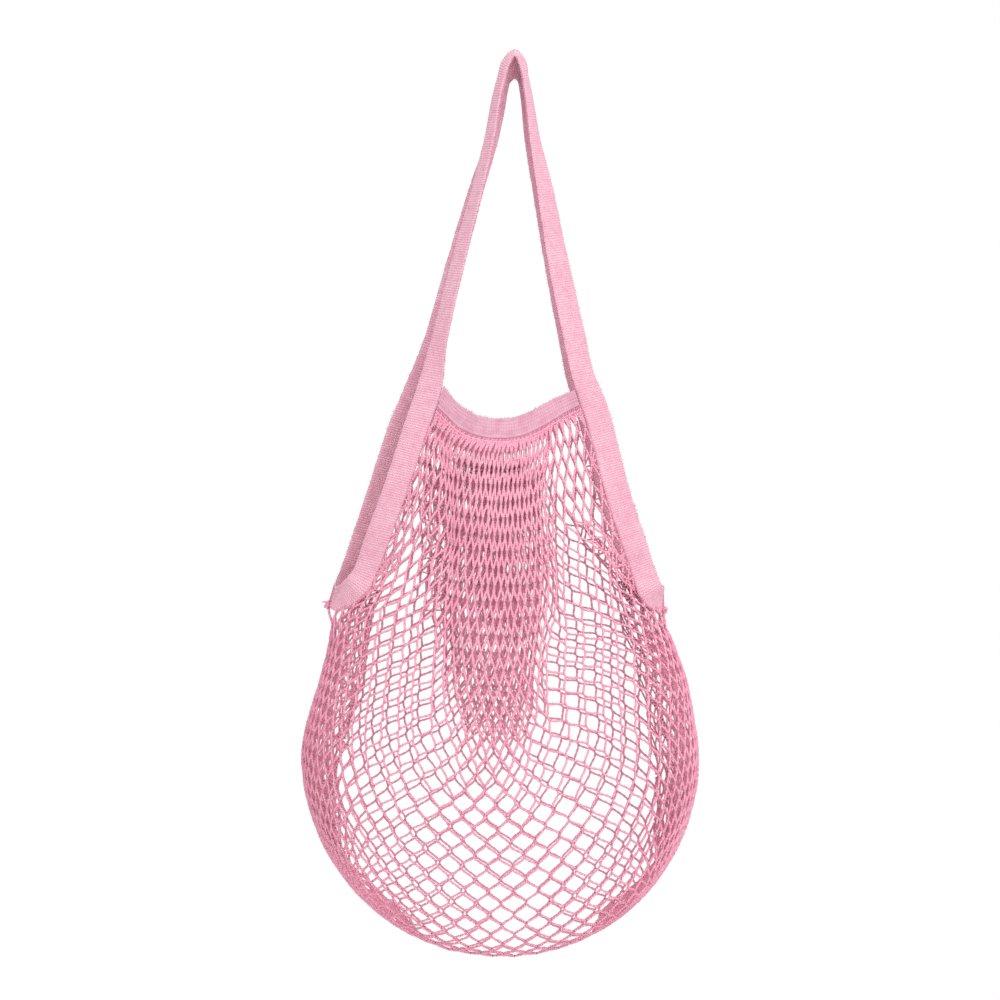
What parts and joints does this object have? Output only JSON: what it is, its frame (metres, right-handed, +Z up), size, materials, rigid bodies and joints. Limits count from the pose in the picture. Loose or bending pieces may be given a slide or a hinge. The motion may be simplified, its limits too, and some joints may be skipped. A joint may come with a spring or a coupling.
{
  "type": "string shopping bag",
  "caption": "Open net sack of knotted cotton string with knitted rib tape edges and two long shoulder handles, hanging full and round from its handles",
  "frame": {"origin": "the hang point: the underside of the two handles where a hook or a hand carries them", "axes": "+Z up, towards what carries the bag; -Y is the front panel as seen in the picture; +X is to the right of that view"},
  "size_m": [0.3536, 0.238, 0.8066],
  "materials": {
    "net_cord": "soft twisted cotton string, matt and slightly fuzzy, pink",
    "rib_tape": "knitted cotton rib tape, matt with a soft fuzzy edge, light pink"
  },
  "bodies": {
    "root": {"net_body": "net_cord", "front_strap": "rib_tape", "back_strap": "rib_tape", "front_rim_band": "rib_tape", "back_rim_band": "rib_tape"}
  },
  "joints": []
}
